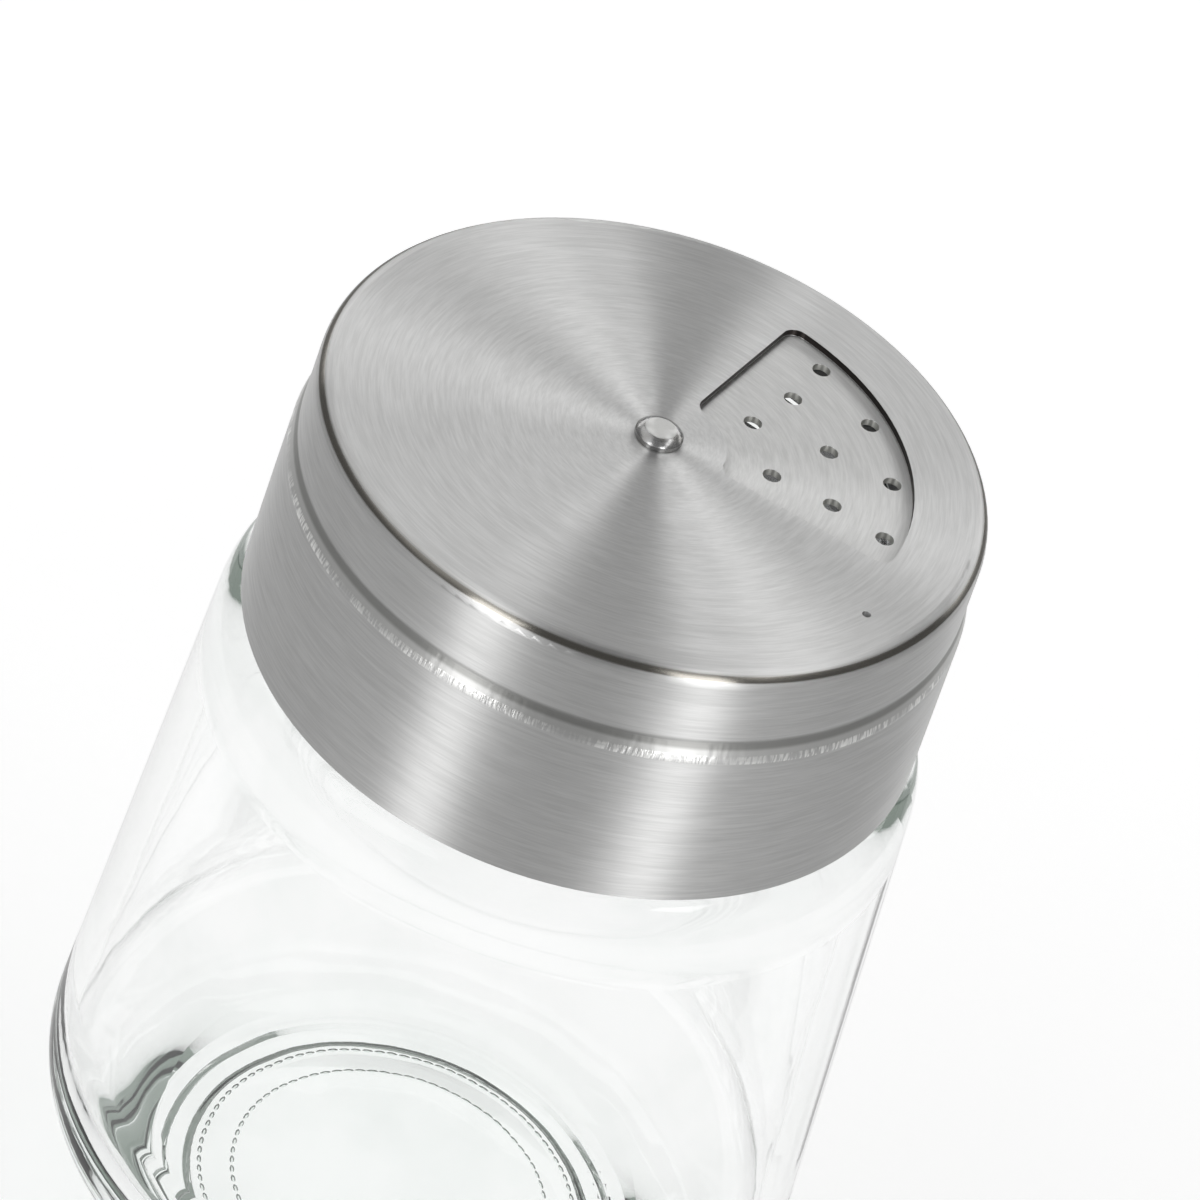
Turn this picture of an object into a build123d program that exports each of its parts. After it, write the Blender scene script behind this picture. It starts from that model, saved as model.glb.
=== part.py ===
# Glass spice jar with a rotating shaker lid, in millimetres.
# +Z is up and the origin is the centre of the base. The lid is screwed down and set to sprinkle.
from build123d import *
import os

os.makedirs("parts", exist_ok=True)

# Whole jar
total_height = 74.0
lid_height = 18.5
overrun = 1.0

# Steel shell of the lid
sheet = 0.5
lid_top_radius = 22.0
upper_band_height = 5.4
upper_band_flare = 0.13
step_height = 1.25
step_width = 0.35
lower_band_flare = 0.27
top_edge_rounding = 1.0
step_foot_rounding = 1.2
step_nose_rounding = 0.8

# Window in the shell's top
window_margin = 5.1
window_inner_radius = 4.5
window_centre_angle = 27.0
window_half_angle = 43.0
window_corner_rounding = 1.0

# Stop pip pressed into the shell's top, and its dimple
pip_angle = -31.6
pip_radius = 0.45
pip_height = 0.4
pip_draft = 0.15
dimple_radius = 0.3
dimple_tip_radius = 0.1

# Settings of the lid, turned from sprinkle
closed_turn = -120.0
pour_turn = 120.0

# Sieve plate
plate_thickness = 0.5
plate_gap = 0.1
plate_lap = 0.4
sieve_hole_radius = 0.62
sieve_centre_angle = 26.2
sieve_row_shares = (0.9, 0.59, 0.255)
sieve_row_counts = (4, 3, 2)
sieve_row_angles = (20.6, 25.4, 38.3)
pour_half_angle = 38.0
port_margin = 0.5
port_corner_rounding = 1.2

# Keys that hold the plate still on the insert
key_width = 2.2
key_depth = 0.8
key_clearance = 0.1
key_turns = (60.0, 240.0)

# Plastic insert
lid_fit_gap = 0.2
insert_wall = 0.9
web_thickness = 1.4
skirt_recess = 0.5
skirt_edge_chamfer = 0.3
insert_top_rounding = 0.6
pocket_clearance = 0.1
track_land = 0.55
track_clearance = 0.2
boss_radius = 3.2
boss_height = 1.6

# Rivet and its washer
rivet_shank_radius = 1.0
rivet_head_radius = 1.58
rivet_head_height = 0.7
rivet_facet_radius = 0.8
rivet_head_edge_height = 0.32
rivet_tail_radius = 1.6
rivet_tail_height = 0.7
rivet_tail_chamfer = 0.2
running_clearance = 0.05
washer_radius = 3.0
washer_thickness = 0.5

# Seal ring
seal_thickness = 1.2
seal_clearance = 0.3
seal_edge_rounding = 0.25

# Screw thread between the jar's neck and the insert
thread_pitch = 3.5
thread_depth = 1.1
thread_clearance = 0.3
thread_turns = 1.25
thread_drop = 2.2
ridge_root_width = 1.9
ridge_crest_width = 0.9
insert_ridge_depth = 1.0
insert_ridge_root_width = 1.3
insert_ridge_crest_width = 0.6
flank_clearance = 0.15
ridge_root_sink = 0.3

# Glass jar
neck_wall = 2.2
body_wall = 2.2
shoulder_gap = 0.2
shoulder_fall = 1.1
shoulder_overhang = 0.95
shoulder_thickness = 3.8
body_flare = 2.8
heel_height = 11.1
base_radius = 17.2
inner_heel_height = 12.7
floor_height = 7.6
floor_radius = 19.6
floor_crown = 0.3
floor_crown_radius = 7.5
base_rounding = 0.9
heel_rounding = 5.0
shoulder_rounding = 3.6
neck_foot_rounding = 1.2
rim_rounding = 0.8
mouth_foot_rounding = 1.4
inner_shoulder_rounding = 4.2
inner_heel_rounding = 6.0
floor_rounding = 6.0

# Ring that the jar stands on, and the hollow inside it
bearing_inner_radius = 14.6
bearing_width = 1.2
bearing_height = 0.8
bearing_side = 0.5
bearing_rounding = 0.3
push_up = 1.2
push_up_radius = 13.1

# Heights worked out from the top of the lid down
lid_edge_height = total_height - lid_height
shell_underside = total_height - sheet
plate_top = shell_underside - plate_gap
web_top = plate_top - plate_thickness
web_bottom = web_top - web_thickness
rim_height = web_bottom - seal_thickness
shoulder_height = lid_edge_height - shoulder_gap
skirt_bottom = lid_edge_height + skirt_recess
step_top = total_height - upper_band_height
step_bottom = step_top - step_height
boss_bottom = web_bottom - boss_height
washer_bottom = boss_bottom - washer_thickness
head_bottom = total_height + running_clearance
track_floor = shell_underside - pip_height - track_clearance
ridge_top = rim_height - thread_drop
inner_shoulder_height = shoulder_height - shoulder_thickness

# Radii worked out from the shell inwards
step_top_radius = lid_top_radius + upper_band_flare
lower_band_radius = step_top_radius + step_width
lid_edge_radius = lower_band_radius + lower_band_flare
window_outer_radius = lid_top_radius - window_margin
insert_top_radius = lid_top_radius - sheet - lid_fit_gap
skirt_radius = lower_band_radius - sheet - lid_fit_gap
bore_radius = insert_top_radius - insert_wall
thread_crest_radius = bore_radius - thread_clearance
neck_radius = thread_crest_radius - thread_depth
mouth_radius = neck_radius - neck_wall
plate_radius = window_outer_radius + plate_lap
pocket_radius = plate_radius + pocket_clearance
track_half_width = pip_radius + track_clearance
pip_circle_radius = pocket_radius + track_land + track_half_width
port_outer_radius = mouth_radius - port_margin
port_inner_radius = window_inner_radius + port_margin
shank_hole_radius = rivet_shank_radius + running_clearance
body_top_radius = lid_edge_radius + shoulder_overhang
body_base_radius = body_top_radius + body_flare
bearing_outer_radius = bearing_inner_radius + bearing_width
pour_angle = window_centre_angle + pour_turn


def sector(height, inner_radius, outer_radius, centre_angle, half_angle, rounding):
    """Face of a ring sector with rounded corners, at a height."""
    with BuildSketch(Plane.XY.offset(height)) as face:
        with BuildLine():
            inner = CenterArc((0, 0), inner_radius, centre_angle - half_angle, 2 * half_angle)
            outer = CenterArc((0, 0), outer_radius, centre_angle - half_angle, 2 * half_angle)
            Line(inner @ 0, outer @ 0)
            Line(inner @ 1, outer @ 1)
        make_face()
        fillet(face.vertices(), rounding)
    return face.sketch


def helical_ridge(root_radius, crest_radius, root_width, crest_width, top_height):
    """Thread ridge that winds down from its top end, with its foot sunk into the wall."""
    sink = -ridge_root_sink if crest_radius > root_radius else ridge_root_sink
    bottom = top_height - thread_turns * thread_pitch
    with BuildPart() as ridge:
        with BuildLine(Plane.XY.offset(bottom)):
            path = Helix(thread_pitch, thread_turns * thread_pitch, root_radius)
        with BuildSketch(Plane.XZ):
            with Locations((0, bottom)):
                Polygon(
                    (root_radius + sink, -root_width / 2),
                    (root_radius, -root_width / 2),
                    (crest_radius, -crest_width / 2),
                    (crest_radius, crest_width / 2),
                    (root_radius, root_width / 2),
                    (root_radius + sink, root_width / 2),
                    align=None,
                )
        sweep(path=path, is_frenet=True)
    return ridge.part


# Steel shell: one drawn cap of even sheet, with a small step between its two bands
with BuildPart() as lid_shell:
    with BuildSketch(Plane.XZ):
        with BuildLine():
            FilletPolyline(
                (0, total_height),
                (lid_top_radius, total_height),
                (step_top_radius, step_top),
                (lower_band_radius, step_bottom),
                (lid_edge_radius, lid_edge_height),
                radius=[top_edge_rounding, step_foot_rounding, step_nose_rounding],
            )
            offset(amount=sheet, side=Side.RIGHT)
        make_face()
    revolve(axis=Axis.Z)
    extrude(
        sector(shell_underside - overrun, window_inner_radius, window_outer_radius,
               window_centre_angle, window_half_angle, window_corner_rounding),
        amount=sheet + 2 * overrun,
        mode=Mode.SUBTRACT,
    )
    with Locations((0, 0, shell_underside)):
        Hole(shank_hole_radius, depth=sheet + overrun)
    with PolarLocations(pip_circle_radius, 1, start_angle=pip_angle):
        with Locations((0, 0, shell_underside)):
            Cone(pip_radius - pip_draft, pip_radius, pip_height,
                 align=(Align.CENTER, Align.CENTER, Align.MAX))
        with Locations((0, 0, total_height)):
            Cone(dimple_tip_radius, dimple_radius, pip_height,
                 align=(Align.CENTER, Align.CENTER, Align.MAX), mode=Mode.SUBTRACT)
lid_shell.part.label = "lid_shell"
export_step(lid_shell.part, "parts/lid_shell.step")

# Sieve plate: keyed to the insert, with the sprinkle holes, the pour opening and a blank
with BuildPart() as sieve_plate:
    with BuildSketch(Plane.XY.offset(web_top)):
        Circle(plate_radius)
        Circle(shank_hole_radius, mode=Mode.SUBTRACT)
        for row_share, hole_count, hole_angle in zip(
            sieve_row_shares, sieve_row_counts, sieve_row_angles
        ):
            row_radius = window_inner_radius + row_share * (window_outer_radius - window_inner_radius)
            row_span = hole_angle * (hole_count - 1)
            row_start = sieve_centre_angle - row_span / 2
            with PolarLocations(row_radius, hole_count, row_start, row_span, endpoint=True):
                Circle(sieve_hole_radius, mode=Mode.SUBTRACT)
        for key_turn in key_turns:
            with PolarLocations(plate_radius, 1, window_centre_angle + key_turn):
                Rectangle(2 * key_depth, key_width, mode=Mode.SUBTRACT)
    extrude(amount=plate_thickness)
    extrude(
        sector(web_top - overrun, port_inner_radius, port_outer_radius,
               pour_angle, pour_half_angle, port_corner_rounding),
        amount=plate_thickness + 2 * overrun,
        mode=Mode.SUBTRACT,
    )
sieve_plate.part.label = "sieve_plate"
export_step(sieve_plate.part, "parts/sieve_plate.step")

# Plastic insert: threaded skirt, web with two ports, pocket for the plate, track for the pip
insert_ridge = helical_ridge(
    bore_radius, bore_radius - insert_ridge_depth,
    insert_ridge_root_width, insert_ridge_crest_width,
    ridge_top - ridge_root_width / 2 - insert_ridge_crest_width / 2 - flank_clearance,
)
with BuildPart() as thread_insert:
    with BuildSketch(Plane.XZ) as insert_section:
        with BuildLine():
            Polyline(
                (0, web_top),
                (pocket_radius, web_top),
                (pocket_radius, plate_top),
                (insert_top_radius, plate_top),
                (insert_top_radius, step_top - lid_fit_gap),
                (skirt_radius, step_bottom - lid_fit_gap),
                (skirt_radius, skirt_bottom),
                (bore_radius, skirt_bottom),
                (bore_radius, web_bottom),
                (boss_radius, web_bottom),
                (boss_radius, boss_bottom),
                (0, boss_bottom),
                close=True,
            )
        make_face()
        top_corner = insert_section.vertices().group_by(Axis.Y)[-1].sort_by(Axis.X)[-1]
        fillet(top_corner, insert_top_rounding)
        chamfer(insert_section.vertices().group_by(Axis.Y)[0], skirt_edge_chamfer)
    revolve(axis=Axis.Z)
    with BuildSketch(Plane.XY.offset(web_top)):
        for key_turn in key_turns:
            with PolarLocations(pocket_radius, 1, window_centre_angle + key_turn):
                Rectangle(2 * (key_depth - key_clearance), key_width - 2 * key_clearance)
    extrude(amount=plate_thickness)
    for port_turn in (0, pour_turn):
        extrude(
            sector(boss_bottom, port_inner_radius, port_outer_radius,
                   window_centre_angle + port_turn, pour_half_angle, port_corner_rounding),
            amount=web_top - boss_bottom + overrun,
            mode=Mode.SUBTRACT,
        )
    with BuildSketch(Plane.XY.offset(track_floor)):
        SlotArc(
            CenterArc((0, 0), pip_circle_radius, pip_angle + closed_turn, pour_turn - closed_turn),
            2 * track_half_width,
        )
    extrude(amount=plate_top - track_floor + overrun, mode=Mode.SUBTRACT)
    with Locations((0, 0, web_top)):
        Hole(shank_hole_radius, depth=web_top - boss_bottom)
    add(insert_ridge)
thread_insert.part.label = "thread_insert"
export_step(thread_insert.part, "parts/thread_insert.step")

# Rivet: domed head with a small flat on it, shank, and the tail upset under the washer
with BuildPart() as rivet:
    with BuildSketch(Plane.XZ):
        with BuildLine():
            Polyline(
                (rivet_head_radius, head_bottom + rivet_head_edge_height),
                (rivet_head_radius, head_bottom),
                (rivet_shank_radius, head_bottom),
                (rivet_shank_radius, washer_bottom),
                (rivet_tail_radius, washer_bottom),
                (rivet_tail_radius, washer_bottom - rivet_tail_height + rivet_tail_chamfer),
                (rivet_tail_radius - rivet_tail_chamfer, washer_bottom - rivet_tail_height),
                (0, washer_bottom - rivet_tail_height),
                (0, head_bottom + rivet_head_height),
                (rivet_facet_radius, head_bottom + rivet_head_height),
            )
            TangentArc(
                (rivet_facet_radius, head_bottom + rivet_head_height),
                (rivet_head_radius, head_bottom + rivet_head_edge_height),
                tangent=(1, 0),
            )
        make_face()
    revolve(axis=Axis.Z)
rivet.part.label = "rivet"
export_step(rivet.part, "parts/rivet.step")

# Washer under the insert's boss
with BuildPart() as rivet_washer:
    with BuildSketch(Plane.XY.offset(washer_bottom)):
        Circle(washer_radius)
        Circle(shank_hole_radius, mode=Mode.SUBTRACT)
    extrude(amount=washer_thickness)
rivet_washer.part.label = "rivet_washer"
export_step(rivet_washer.part, "parts/rivet_washer.step")

# Seal ring between the insert's web and the jar's rim
with BuildPart() as seal_ring:
    with BuildSketch(Plane.XY.offset(rim_height)):
        Circle(bore_radius - seal_clearance)
        Circle(mouth_radius, mode=Mode.SUBTRACT)
    extrude(amount=seal_thickness)
    fillet(seal_ring.edges(), seal_edge_rounding)
seal_ring.part.label = "seal_ring"
export_step(seal_ring.part, "parts/seal_ring.step")

# Glass jar: threaded neck, flared body, and a thick base that tapers in to its bearing ring
neck_ridge = helical_ridge(
    neck_radius, thread_crest_radius, ridge_root_width, ridge_crest_width, ridge_top
)
with BuildPart() as glass_jar:
    with BuildSketch(Plane.XZ):
        with BuildLine():
            FilletPolyline(
                (push_up_radius, bearing_height),
                (bearing_inner_radius - bearing_side, bearing_height),
                (bearing_inner_radius, 0),
                (bearing_outer_radius, 0),
                (bearing_outer_radius + bearing_side, bearing_height),
                (base_radius, bearing_height),
                (body_base_radius, heel_height),
                (body_top_radius, shoulder_height - shoulder_fall),
                (neck_radius, shoulder_height),
                (neck_radius, rim_height),
                (mouth_radius, rim_height),
                (mouth_radius, inner_shoulder_height),
                (body_top_radius - body_wall, inner_shoulder_height - shoulder_fall),
                (body_base_radius - body_wall, inner_heel_height),
                (floor_radius, floor_height),
                (floor_crown_radius, floor_height),
                radius=[
                    bearing_rounding, bearing_rounding, bearing_rounding, bearing_rounding,
                    base_rounding, heel_rounding, shoulder_rounding, neck_foot_rounding,
                    rim_rounding, rim_rounding, mouth_foot_rounding, inner_shoulder_rounding,
                    inner_heel_rounding, floor_rounding,
                ],
            )
            crown_top = (0, floor_height + floor_crown)
            push_up_top = (0, bearing_height + push_up)
            TangentArc(crown_top, (floor_crown_radius, floor_height), tangent=(1, 0))
            TangentArc(push_up_top, (push_up_radius, bearing_height), tangent=(1, 0))
            Line(push_up_top, crown_top)
        make_face()
    revolve(axis=Axis.Z)
    add(neck_ridge)
glass_jar.part.label = "glass_jar"
export_step(glass_jar.part, "parts/glass_jar.step")
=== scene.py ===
"""Looks, light and camera for the glass spice jar with a steel shaker lid."""

import math

import bpy
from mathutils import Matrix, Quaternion, Vector


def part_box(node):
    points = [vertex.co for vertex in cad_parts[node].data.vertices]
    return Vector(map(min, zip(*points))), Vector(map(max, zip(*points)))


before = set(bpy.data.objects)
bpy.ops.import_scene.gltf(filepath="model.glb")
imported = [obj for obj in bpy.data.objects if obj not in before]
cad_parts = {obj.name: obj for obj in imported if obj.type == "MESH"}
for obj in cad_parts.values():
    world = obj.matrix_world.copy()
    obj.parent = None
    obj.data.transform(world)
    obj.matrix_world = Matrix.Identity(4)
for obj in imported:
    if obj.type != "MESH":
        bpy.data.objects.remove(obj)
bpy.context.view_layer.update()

MM = 0.001


def grey(value):
    return (value, value, value, 1.0)


# Levels that the finishes are drawn from
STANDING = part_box("glass_jar")[0].z
PLATE_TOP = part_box("sieve_plate")[1].z
LID_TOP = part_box("lid_shell")[1].z
RIVET_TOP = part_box("rivet")[1].z

# Places on the shell: the step between its bands, the outer end of its window, its rounded top
# edge and the pip between the two
STEP_TOP = LID_TOP - 5.4 * MM
STEP_BOTTOM = LID_TOP - 6.65 * MM
WINDOW_REACH = 17.5 * MM
PIP_FROM, PIP_TO = 17.7 * MM, 19.4 * MM
EDGE_START = 20.4 * MM

# Brushed steel, with painted shade, a painted highlight and a painted dark reflection laid on it
SHELL_STEEL, SHELL_GRAIN = (0.6, 0.6, 0.595), 0.0015 * MM
PLATE_STEEL, PLATE_GRAIN = (0.62, 0.62, 0.612), 0.0012 * MM
STEEL_ROUGHNESS = 0.43
STEEL_ANISOTROPY = 0.95
ALONG_THE_BRUSHING = 0.25
HOLE_WALL_PAINTED_SHADE = (0.42, 0.42, 0.39, 1.0)
STEP_STEEL = (0.58, 0.58, 0.57, 1.0)
CREASE_PAINTED_SHADE = (0.13, 0.13, 0.12, 1.0)
PAINTED_GLINT = (0.95, 0.95, 0.93, 1.0)
EDGE_PAINTED_DARK_REFLECTION = (0.14, 0.13, 0.11, 1.0)
WINDOW_WALL_PAINTED_SHADE = (0.02, 0.015, 0.013, 1.0)

# Rivet, plastic and seal: each has a darker and a paler tone; the rivet's dome is painted dark, a
# painted reflection of the dark room
DOME_PAINTED_DARK = (0.27, 0.265, 0.255, 1.0), grey(0.38)
FLAT = (0.5, 0.5, 0.49, 1.0), (0.62, 0.62, 0.61, 1.0)
PLASTIC = grey(0.014), (0.024, 0.024, 0.023, 1.0)
ELASTOMER = (0.78, 0.78, 0.76, 1.0), (0.86, 0.86, 0.84, 1.0)

# Glass
GLASS_IOR = 1.52
GLASS_CLOUDED = (0.955, 0.962, 0.958, 1.0)
GLASS_DOT_PAINTED_SHADE = (0.6, 0.66, 0.62, 1.0)
GLASS_SHADOW = (0.87, 0.89, 0.88, 1.0)
GLASS_DEPTH, GLASS_DENSITY = (0.3, 0.7, 0.5, 1.0), 2.0
BODY_WAVES, BASE_WAVES, DOT_HEIGHT = 0.08, 2.0, 0.4
WAVE_SIZE = 0.25 * MM
DOTTED_RINGS = ((11.3 * MM, 78), (13.5 * MM, 94))
DOT_STRETCH = 0.38

# Brightness of the floor: in metal near the jar and far from it, a painted pool of light that the
# floor glows with, through glass, and to the eye near the jar and far from it, where the rest of
# it comes from the light that falls on it
FLOOR_HALF_WIDTH = 4.0
FLOOR_GAP = 0.02 * MM
FLOOR_GREY = 0.8
FLOOR_OWN_LIGHT = 0.6
METAL_NEAR, METAL_FAR = 1.0, 0.21
WHITE = 1.37
FLOOR_THROUGH_GLASS = (0.065, 0.105, 0.077, 1.0)
EYE_NEAR, EYE_FAR = 0.49, 1.02

# Brightness of the room
ROOM = grey(0.25)
ROOM_THROUGH_GLASS = (0.24, 0.28, 0.25, 1.0)

# Lamps: azimuth from +X towards +Y, elevation, half width and half height in degrees as seen
# from the lid, and radiance
LAMP_DISTANCE = 1200 * MM
FRONT_LAMPS = {
    "front_left": (-119.4, 24.0, 7.4, 22.0, 5.6),
    "front_right": (-51.7, 24.0, 8.1, 22.0, 5.8),
}
OTHER_LAMPS = {
    "over_left": (173.1, 58.6, 37.9, 18.9, 0.9),
    "over_right": (18.9, 59.4, 25.9, 5.0, 2.7),
    "behind": (88.3, 25.0, 51.3, 8.0, 1.85),
}

# Camera: seen from the middle of the lid's top, and turned about its own line of sight
CAMERA_DISTANCE = 397.8 * MM
CAMERA_ELEVATION = math.radians(37.983)
CAMERA_AIM_BELOW_TOP = 14.19 * MM
CAMERA_ROLL = math.radians(19.65)
CAMERA_SENSOR = 36.0
CAMERA_LENS = 189.0
CAMERA_NEAREST = 10 * MM


class Shader:
    """One node material, with short ways to add nodes to it and link them."""

    def __init__(self, name):
        self.material = bpy.data.materials.new(name)
        self.material.use_nodes = True
        self.tree = self.material.node_tree
        self.tree.nodes.clear()
        self.output = self.tree.nodes.new("ShaderNodeOutputMaterial")

    def put(self, value, socket):
        if isinstance(value, bpy.types.NodeSocket):
            self.tree.links.new(value, socket)
        else:
            socket.default_value = value

    def node(self, kind, inputs=None, **settings):
        node = self.tree.nodes.new("ShaderNode" + kind)
        for name, value in settings.items():
            setattr(node, name, value)
        for name, value in (inputs or {}).items():
            self.put(value, node.inputs[name])
        return node

    def math(self, operation, *values, clamp=False):
        node = self.node("Math", operation=operation, use_clamp=clamp)
        for socket, value in zip(node.inputs, values):
            self.put(value, socket)
        return node.outputs[0]

    def times(self, product, *factors):
        for factor in factors:
            product = self.math("MULTIPLY", product, factor)
        return product

    def ramp(self, value, low, high, to_low=0.0, to_high=1.0):
        """Smooth step from one value to another as an input goes from low to high."""
        node = self.node("MapRange", {
            "Value": value, "From Min": low, "From Max": high,
            "To Min": to_low, "To Max": to_high,
        }, interpolation_type="SMOOTHSTEP")
        return node.outputs["Result"]

    def spread(self, noise, to_low=0.0, to_high=1.0, reach=0.2):
        """Draws the middle part of a noise's range out between two values."""
        return self.ramp(noise, 0.5 - reach, 0.5 + reach, to_low, to_high)

    def fade(self, mask, value):
        """One where there is no mask, and a value where there is."""
        return self.ramp(mask, 0.0, 1.0, 1.0, value)

    def band(self, value, low, high, soft):
        """One between low and high, falling to nothing over a soft edge outside them."""
        rise = self.ramp(value, low - soft, low)
        fall = self.ramp(value, high, high + soft, 1.0, 0.0)
        return self.times(rise, fall)

    def mix(self, factor, first, second):
        node = self.node("Mix", data_type="RGBA", blend_type="MIX")
        for value, socket in ((factor, 0), (first, 6), (second, 7)):
            self.put(value, node.inputs[socket])
        return node.outputs[2]

    def coat(self, under, over, mask, amount):
        """Lays a colour over another where there is a mask, up to an amount."""
        return self.mix(self.times(mask, amount), under, over)

    def blend(self, factor, first, second):
        """Mixes two shaders."""
        return self.node("MixShader", {0: factor, 1: first, 2: second}).outputs["Shader"]

    def noise(self, vector, scale=1.0, detail=2.0, roughness=0.5):
        node = self.node("TexNoise", {
            "Vector": vector, "Scale": scale, "Detail": detail, "Roughness": roughness,
        })
        return node.outputs["Fac"]

    def place(self):
        """The point on the piece, which goes with it when it moves, and its three numbers."""
        point = self.node("TexCoord").outputs["Object"]
        return point, self.node("SeparateXYZ", {"Vector": point}).outputs

    def combine(self, x, y, z):
        return self.node("CombineXYZ", {"X": x, "Y": y, "Z": z}).outputs["Vector"]

    def bump(self, height, distance):
        return self.node("Bump", {"Height": height, "Distance": distance}).outputs["Normal"]

    def finish(self, surface, volume=None):
        self.put(surface, self.output.inputs["Surface"])
        if volume is not None:
            self.put(volume, self.output.inputs["Volume"])
        return self.material


class Turned:
    """Coordinates on a piece that was turned about the jar's axis."""

    def __init__(self, shader):
        self.shader = shader
        self.point, (x, y, self.z) = shader.place()
        flat = shader.combine(x, y, 0.0)
        self.radius = shader.node("VectorMath", {0: flat}, operation="LENGTH").outputs["Value"]
        around = shader.node("VectorMath", {0: flat}, operation="NORMALIZE").outputs["Vector"]
        self.east, self.north, _ = shader.node("SeparateXYZ", {"Vector": around}).outputs
        # Runs outwards across a flat top and then down a wall
        self.across = shader.math("SUBTRACT", self.radius, self.z)

    def lines(self, per_turn, per_metre, detail=2.0, roughness=0.5, shift=0.0):
        """Noise drawn out into lines round the axis: few changes in a turn, many across it."""
        shader = self.shader
        vector = shader.combine(
            shader.times(self.east, per_turn),
            shader.times(self.north, per_turn),
            shader.math("MULTIPLY_ADD", self.across, per_metre, shift),
        )
        return shader.noise(vector, 1.0, detail, roughness)


def punched_plate(shader, turned, colour, rough, height):
    """Paints shade on the walls of the plate's sprinkle holes, and makes them rougher."""
    wall = shader.ramp(turned.z, PLATE_TOP - 0.05 * MM, PLATE_TOP - 0.03 * MM, 1.0, 0.0)
    # Painted shade: the hole walls are coloured darker
    colour = shader.coat(colour, HOLE_WALL_PAINTED_SHADE, wall, 0.75)
    rough = shader.math("ADD", rough, shader.times(wall, 0.3))
    return colour, rough, height


def drawn_shell(shader, turned, colour, rough, height):
    """Adds what drawing and cutting left on the shell: its step, tool marks and flutes, with
    painted shade in the crease, the pip and the window's walls, a painted highlight on the marks
    and a painted dark reflection on the top edge.
    """
    # Smooth step between the bands, with painted shade in the crease above it
    step = shader.band(turned.z, STEP_BOTTOM + 0.25 * MM, STEP_TOP - 0.1 * MM, 0.12 * MM)
    colour = shader.coat(colour, STEP_STEEL, step, 0.85)
    rough = shader.times(rough, shader.fade(step, 0.95))
    crease = shader.band(turned.z, STEP_TOP - 0.3 * MM, STEP_TOP + 0.05 * MM, 0.3 * MM)
    # Painted shade: the crease above the step is coloured dark
    colour = shader.coat(colour, CREASE_PAINTED_SHADE, crease, 0.55)

    # Tool marks along the foot of the step, more of them in some places than in others, with a
    # painted highlight on them
    ticks = turned.lines(150.0, 900.0, 1.0, 0.5, 5.0)
    uneven = shader.ramp(turned.lines(4.0, 100.0, 2.0, 0.5, 31.0), 0.35, 0.6)
    foot = shader.band(turned.z, STEP_BOTTOM - 0.14 * MM, STEP_BOTTOM + 0.3 * MM, 0.12 * MM)
    mark = shader.times(foot, uneven)
    # Painted highlight: the marks are coloured near white where their ticks stand out
    glint = shader.times(mark, shader.spread(ticks, reach=0.1))
    colour = shader.coat(colour, PAINTED_GLINT, glint, 0.8)
    rough = shader.times(rough, shader.fade(glint, 0.7))

    # Rounded top edge, smoother, and painted dark: a painted reflection of the dark room it
    # mirrors
    edge = shader.band(turned.z, LID_TOP - 0.42 * MM, LID_TOP - 0.24 * MM, 0.16 * MM)
    outside = shader.ramp(turned.radius, EDGE_START - 0.1 * MM, EDGE_START + 0.1 * MM)
    rim = shader.times(edge, outside)
    # Painted dark reflection on the rounded top edge
    colour = shader.coat(colour, EDGE_PAINTED_DARK_REFLECTION, rim, 0.88)
    rough = shader.times(rough, shader.fade(rim, 0.55))

    # Painted shade in the hollow of the pip and on the sheared walls of the window
    wall = shader.band(turned.z, LID_TOP - 0.46 * MM, LID_TOP - 0.04 * MM, 0.02 * MM)
    hollow = shader.times(wall, shader.band(turned.radius, PIP_FROM, PIP_TO, 0.1 * MM))
    colour = shader.coat(colour, grey(0.1), hollow, 0.65)
    inside = shader.ramp(turned.radius, WINDOW_REACH - 0.1 * MM, WINDOW_REACH + 0.1 * MM, 1.0, 0.0)
    # Painted shade on the window's walls
    colour = shader.coat(colour, WINDOW_WALL_PAINTED_SHADE, shader.times(wall, inside), 0.97)

    # The brushing stops at the step and the edge, and the step has shallow flutes
    brushed = shader.math("SUBTRACT", 1.0, shader.math("MAXIMUM", step, rim))
    flutes = turned.lines(40.0, 300.0, 1.0, 0.5, 3.0)
    height = shader.math("ADD", shader.times(height, brushed), shader.times(ticks, mark, 14.0))
    height = shader.math("ADD", height, shader.times(flutes, step, 10.0))
    return colour, rough, height


def brushed_steel(name, colour, grain, add_details):
    """Stainless sheet brushed in circles round the lid's axis."""
    shader = Shader(name)
    turned = Turned(shader)
    fine = turned.lines(8.0, 9000.0, 3.0, 0.7)
    middle = turned.lines(5.0, 4500.0, 2.0, 0.5, 11.0)
    broad = turned.lines(1.6, 1100.0, 2.0, 0.5, 23.0)
    clouds = shader.noise(turned.point, 260.0, 3.0, 0.5)

    tone = shader.math("ADD", shader.times(fine, 0.5), shader.times(middle, 0.5))
    shade = shader.times(
        shader.spread(tone, 0.9, 1.08),
        shader.spread(broad, 0.985, 1.012),
        shader.spread(clouds, 0.988, 1.01),
    )
    tinted = shader.node("VectorMath", {
        0: colour, 1: shader.combine(shade, shade, shade),
    }, operation="MULTIPLY").outputs["Vector"]
    rough = shader.ramp(shader.math("ADD", broad, clouds), 0.7, 1.3,
                        STEEL_ROUGHNESS - 0.02, STEEL_ROUGHNESS + 0.02)
    height = shader.math("ADD", fine, shader.times(middle, 1.5))
    tinted, rough, height = add_details(shader, turned, tinted, rough, height)

    steel = shader.node("BsdfPrincipled", {
        "Base Color": tinted, "Metallic": 1.0, "Roughness": rough,
        "Anisotropic": STEEL_ANISOTROPY, "Anisotropic Rotation": ALONG_THE_BRUSHING,
        "Tangent": shader.node("Tangent", direction_type="RADIAL", axis="Z").outputs["Tangent"],
        "Normal": shader.bump(height, grain),
    })
    return shader.finish(steel.outputs["BSDF"])


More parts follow.
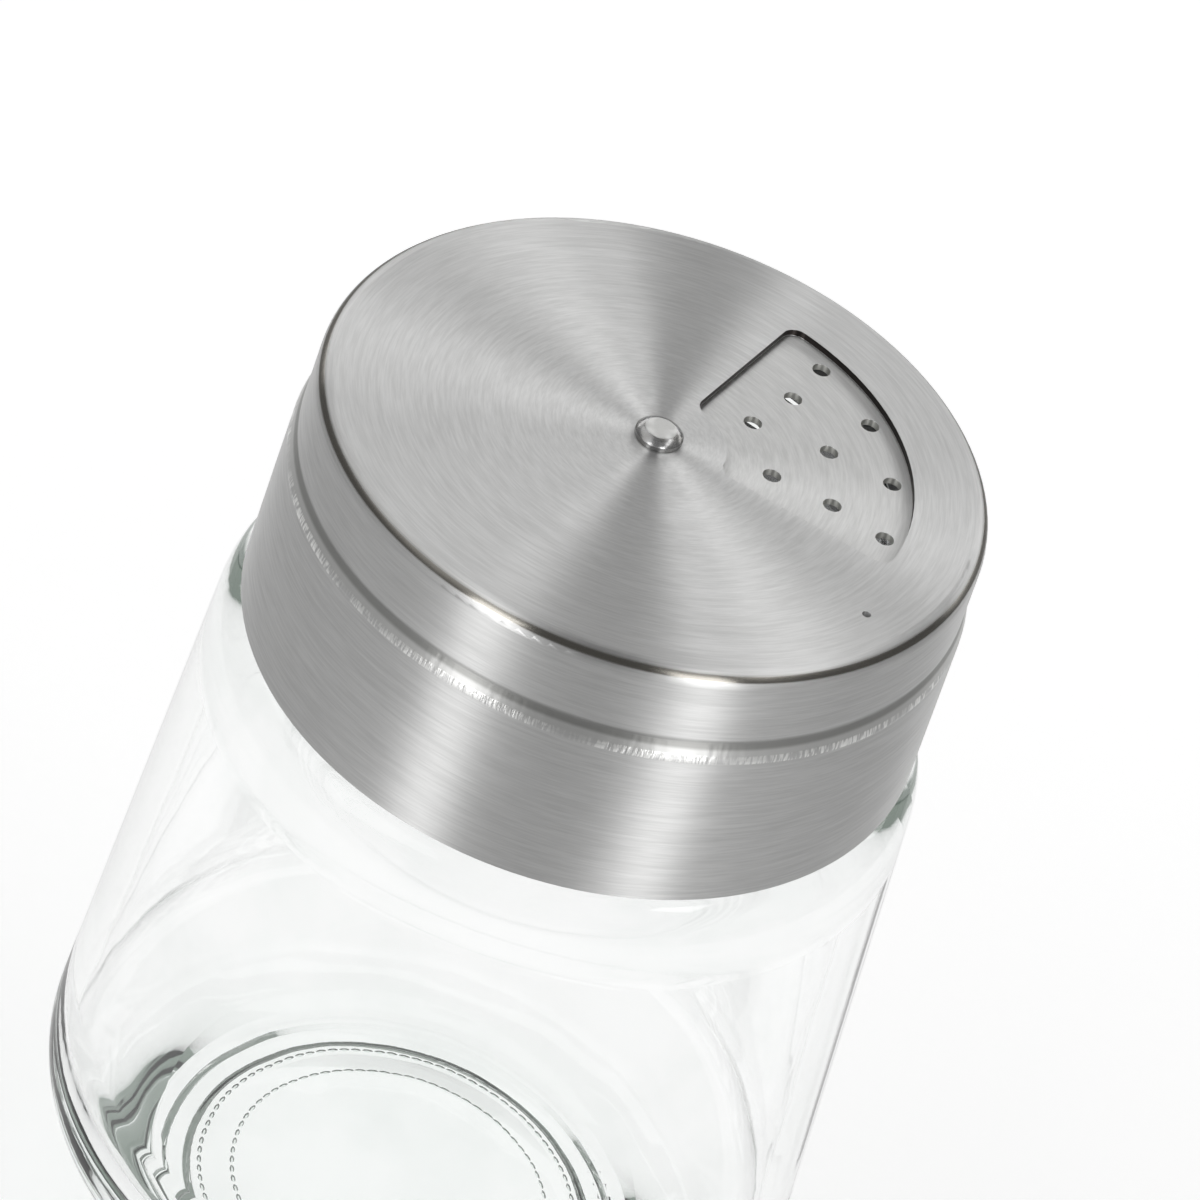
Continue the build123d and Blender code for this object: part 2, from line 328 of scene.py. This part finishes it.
def rivet_steel(name):
    """Smooth steel of the rivet and its washer, with faint forming marks; below the head's flat
    the steel is painted dark, a painted reflection of the dark room.
    """
    shader = Shader(name)
    turned = Turned(shader)
    rings = turned.lines(3.0, 6000.0, 2.0, 0.5)
    dents = shader.noise(turned.point, 900.0, 1.0, 0.5)
    # Painted dark reflection: the dome's steel is coloured darker than steel is
    dome = shader.mix(shader.spread(dents, reach=0.15), *DOME_PAINTED_DARK)
    # The setting tool left a matt flat on the head
    flat = shader.mix(shader.spread(dents, reach=0.1), *FLAT)
    on_flat = shader.ramp(turned.z, RIVET_TOP - 0.04 * MM, RIVET_TOP - 0.01 * MM)
    height = shader.math("ADD", rings, shader.times(dents, 2.0))
    steel = shader.node("BsdfPrincipled", {
        "Base Color": shader.mix(on_flat, dome, flat), "Metallic": 1.0,
        "Roughness": shader.math("ADD", shader.spread(rings, 0.2, 0.28),
                                 shader.times(on_flat, 0.35)),
        "Normal": shader.bump(height, 0.006 * MM),
    })
    return shader.finish(steel.outputs["BSDF"])


def moulded_plastic(name):
    """Black plastic of the insert, satin, with the fine grain of its mould."""
    shader = Shader(name)
    point, _ = shader.place()
    grain = shader.noise(point, 9000.0, 2.0, 0.6)
    flow = shader.noise(point, 300.0, 3.0, 0.5)
    plastic = shader.node("BsdfPrincipled", {
        "Base Color": shader.mix(shader.spread(flow), *PLASTIC),
        "Roughness": shader.ramp(shader.math("ADD", grain, flow), 0.7, 1.3, 0.34, 0.46),
        "Specular IOR Level": 0.45,
        "Normal": shader.bump(grain, 0.01 * MM),
    })
    return shader.finish(plastic.outputs["BSDF"])


def soft_seal(name):
    """Cloudy white elastomer of the seal."""
    shader = Shader(name)
    point, _ = shader.place()
    cloud = shader.noise(point, 700.0, 3.0, 0.5)
    grain = shader.noise(point, 12000.0, 1.0, 0.5)
    seal = shader.node("BsdfPrincipled", {
        "Base Color": shader.mix(shader.spread(cloud), *ELASTOMER),
        "Roughness": shader.spread(grain, 0.42, 0.52),
        "Subsurface Weight": 0.3, "Subsurface Scale": 0.8 * MM,
        "Subsurface Radius": (1.0, 1.0, 0.9),
        "Normal": shader.bump(grain, 0.006 * MM),
    })
    return shader.finish(seal.outputs["BSDF"])


def dotted_rings(shader, turned):
    """Mask of the small drops that stand in rings under the jar."""
    turn = shader.math("ARCTAN2", turned.north, turned.east)
    dots = 0.0
    for radius, count in DOTTED_RINGS:
        pitch = math.tau * radius / count
        along = shader.math("PINGPONG", shader.times(turn, radius), pitch / 2)
        along = shader.times(along, DOT_STRETCH)
        aside = shader.math("SUBTRACT", turned.radius, radius)
        offset = shader.combine(along, aside, 0.0)
        away = shader.node("VectorMath", {0: offset}, operation="LENGTH").outputs["Value"]
        dot = shader.ramp(away, 0.05 * MM, 0.17 * MM, 1.0, 0.0)
        dots = shader.math("MAXIMUM", dots, dot)
    under = shader.ramp(turned.z, STANDING + 2.0 * MM, STANDING + 2.4 * MM, 1.0, 0.0)
    return shader.times(dots, under)


def jar_glass(name):
    """Clear glass, faintly clouded, green in its depth, wavy in its base and dotted under it, with
    the dots painted darker as painted shade.
    """
    shader = Shader(name)
    turned = Turned(shader)
    waves = shader.noise(turned.point, 90.0, 2.0, 0.5)
    swirl = shader.noise(turned.point, 70.0, 1.0, 0.5)
    base = shader.ramp(turned.z, STANDING + 13.0 * MM, STANDING + 18.0 * MM, 1.0, 0.0)
    dots = dotted_rings(shader, turned)
    height = shader.math("ADD", shader.times(waves, BODY_WAVES),
                         shader.times(swirl, base, BASE_WAVES))
    height = shader.math("MULTIPLY_ADD", dots, DOT_HEIGHT, height)
    mottle = shader.ramp(shader.noise(turned.point, 110.0, 4.0, 0.6), 0.42, 0.68)
    body = shader.mix(mottle, grey(1.0), GLASS_CLOUDED)
    # The drops under the jar are painted darker, as painted shade
    glass = shader.node("BsdfPrincipled", {
        "Base Color": shader.mix(dots, body, GLASS_DOT_PAINTED_SHADE),
        "Roughness": shader.times(dots, 0.3), "IOR": GLASS_IOR,
        "Transmission Weight": 1.0,
        "Normal": shader.bump(height, WAVE_SIZE),
    })
    # Light goes straight through to the floor, so that the jar's shadow is pale
    clear = shader.node("BsdfTransparent", {"Color": GLASS_SHADOW})
    surface = shader.blend(shader.node("LightPath").outputs["Is Shadow Ray"],
                           glass.outputs["BSDF"], clear.outputs["BSDF"])
    depth = shader.node("VolumeAbsorption", {"Color": GLASS_DEPTH, "Density": GLASS_DENSITY})
    return shader.finish(surface, depth.outputs["Volume"])


def dress():
    """Gives every piece its finish."""
    finishes = {
        "lid_shell": brushed_steel("shell_steel", SHELL_STEEL, SHELL_GRAIN, drawn_shell),
        "sieve_plate": brushed_steel("plate_steel", PLATE_STEEL, PLATE_GRAIN, punched_plate),
        "thread_insert": moulded_plastic("insert_plastic"),
        "seal_ring": soft_seal("seal"),
        "glass_jar": jar_glass("glass"),
    }
    finishes["rivet"] = finishes["rivet_washer"] = rivet_steel("polished_steel")
    for node, material in finishes.items():
        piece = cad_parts[node]
        piece.data.materials.clear()
        piece.data.materials.append(material)


def floor_finish():
    """White to the eye, where it takes the jar's shadow; in the rest it glows as a painted pool of
    light, less bright far out.
    """
    shader = Shader("floor")
    radius = Turned(shader).radius
    path = shader.node("LightPath").outputs
    through_glass = path["Is Transmission Ray"]

    # A painted pool of light: as metal and thick glass see it, the floor glows bright near the jar
    # and falls off into the room away from it
    in_metal = shader.ramp(radius, 190 * MM, 270 * MM, METAL_NEAR, METAL_FAR)
    bounced = shader.math("SUBTRACT", path["Is Glossy Ray"], through_glass, clamp=True)
    change = shader.math("SUBTRACT", in_metal, WHITE)
    far = shader.times(through_glass, shader.ramp(radius, 120 * MM, 420 * MM))
    glow = shader.node("Emission", {
        "Color": shader.mix(far, grey(1.0), FLOOR_THROUGH_GLASS),
        "Strength": shader.math("MULTIPLY_ADD", bounced, change, WHITE),
    })
    matt = shader.node("BsdfDiffuse", {"Color": grey(FLOOR_GREY)})
    glowing = shader.times(shader.math("SUBTRACT", 1.0, path["Is Diffuse Ray"]), FLOOR_OWN_LIGHT)
    reflected = shader.blend(glowing, matt.outputs["BSDF"], glow.outputs["Emission"])

    # To the eye it whitens away from the jar
    away = shader.ramp(radius, 60 * MM, 260 * MM)
    pale = shader.math("MULTIPLY_ADD", away, -FLOOR_GREY, FLOOR_GREY)
    shaded = shader.node("BsdfDiffuse", {"Color": shader.combine(pale, pale, pale)})
    white = shader.node("Emission", {
        "Strength": shader.math("MULTIPLY_ADD", away, EYE_FAR - EYE_NEAR, EYE_NEAR),
    })
    seen = shader.node("AddShader", {0: shaded.outputs["BSDF"], 1: white.outputs["Emission"]})

    material = shader.finish(
        shader.blend(path["Is Camera Ray"], reflected, seen.outputs["Shader"]))
    material.cycles.emission_sampling = "NONE"
    return material


def pale_floor():
    """The surface that the jar stands on."""
    half = FLOOR_HALF_WIDTH
    corners = [(-half, -half, 0), (half, -half, 0), (half, half, 0), (-half, half, 0)]
    mesh = bpy.data.meshes.new("floor")
    mesh.from_pydata(corners, [], [(0, 1, 2, 3)])
    mesh.materials.append(floor_finish())
    floor = bpy.data.objects.new("floor", mesh)
    bpy.context.scene.collection.objects.link(floor)
    floor.location.z = STANDING - FLOOR_GAP


def studio_world():
    """White all round to the eye, and a dim grey room in the metal and the glass."""
    world = bpy.data.worlds.new("studio")
    bpy.context.scene.world = world
    world.use_nodes = True
    tree = world.node_tree
    tree.nodes.clear()

    def sky(colour):
        background = tree.nodes.new("ShaderNodeBackground")
        background.inputs["Color"].default_value = colour
        return background.outputs[0]

    path = tree.nodes.new("ShaderNodeLightPath")
    seen = sky(ROOM)
    for ray, colour in (("Is Transmission Ray", ROOM_THROUGH_GLASS), ("Is Camera Ray", grey(1.0))):
        mix = tree.nodes.new("ShaderNodeMixShader")
        tree.links.new(path.outputs[ray], mix.inputs[0])
        tree.links.new(seen, mix.inputs[1])
        tree.links.new(sky(colour), mix.inputs[2])
        seen = mix.outputs[0]
    output = tree.nodes.new("ShaderNodeOutputWorld")
    tree.links.new(seen, output.inputs["Surface"])
    world.cycles.sampling_method = "NONE"


def softbox(name, azimuth, elevation, half_width, half_height, radiance):
    """A flat lamp that faces the lid, and that isn't seen through the glass."""
    width = 2 * LAMP_DISTANCE * math.tan(math.radians(half_width))
    height = 2 * LAMP_DISTANCE * math.tan(math.radians(half_height))
    light = bpy.data.lights.new(name, "AREA")
    light.shape = "RECTANGLE"
    light.size, light.size_y = width, height
    light.energy = radiance * math.pi * width * height
    lamp = bpy.data.objects.new(name, light)
    bpy.context.scene.collection.objects.link(lamp)
    across, up = math.radians(azimuth), math.radians(elevation)
    outwards = Vector((
        math.cos(across) * math.cos(up), math.sin(across) * math.cos(up), math.sin(up)))
    lamp.location = Vector((0, 0, LID_TOP)) + outwards * LAMP_DISTANCE
    lamp.rotation_mode = "QUATERNION"
    lamp.rotation_quaternion = outwards.to_track_quat("Z", "Y")
    lamp.visible_transmission = False
    return lamp


def light_up():
    """Lights the lid from the front, which the glass would mirror as white patches, and the rest
    from above and behind."""
    lid = bpy.data.collections.new("lid_lit_from_the_front")
    for name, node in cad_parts.items():
        if name != "glass_jar":
            lid.objects.link(node)
    for name, values in FRONT_LAMPS.items():
        softbox(name, *values).light_linking.receiver_collection = lid
    for name, values in OTHER_LAMPS.items():
        softbox(name, *values)


def aim_camera():
    """Sets the camera at the photograph's angle."""
    data = bpy.data.cameras.new("camera")
    data.sensor_width = CAMERA_SENSOR
    data.lens = CAMERA_LENS
    data.clip_start = CAMERA_NEAREST
    camera = bpy.data.objects.new("camera", data)
    bpy.context.scene.collection.objects.link(camera)
    top = Vector((0, 0, LID_TOP))
    back = Vector((0, -math.cos(CAMERA_ELEVATION), math.sin(CAMERA_ELEVATION)))
    camera.location = top + back * CAMERA_DISTANCE
    line = top - Vector((0, 0, CAMERA_AIM_BELOW_TOP)) - camera.location
    roll = Quaternion((0, 0, 1), CAMERA_ROLL)
    camera.rotation_mode = "QUATERNION"
    camera.rotation_quaternion = line.to_track_quat("-Z", "Y") @ roll
    bpy.context.scene.camera = camera


aim_camera()
dress()
pale_floor()
studio_world()
light_up()

bpy.context.scene.view_settings.view_transform = "Standard"
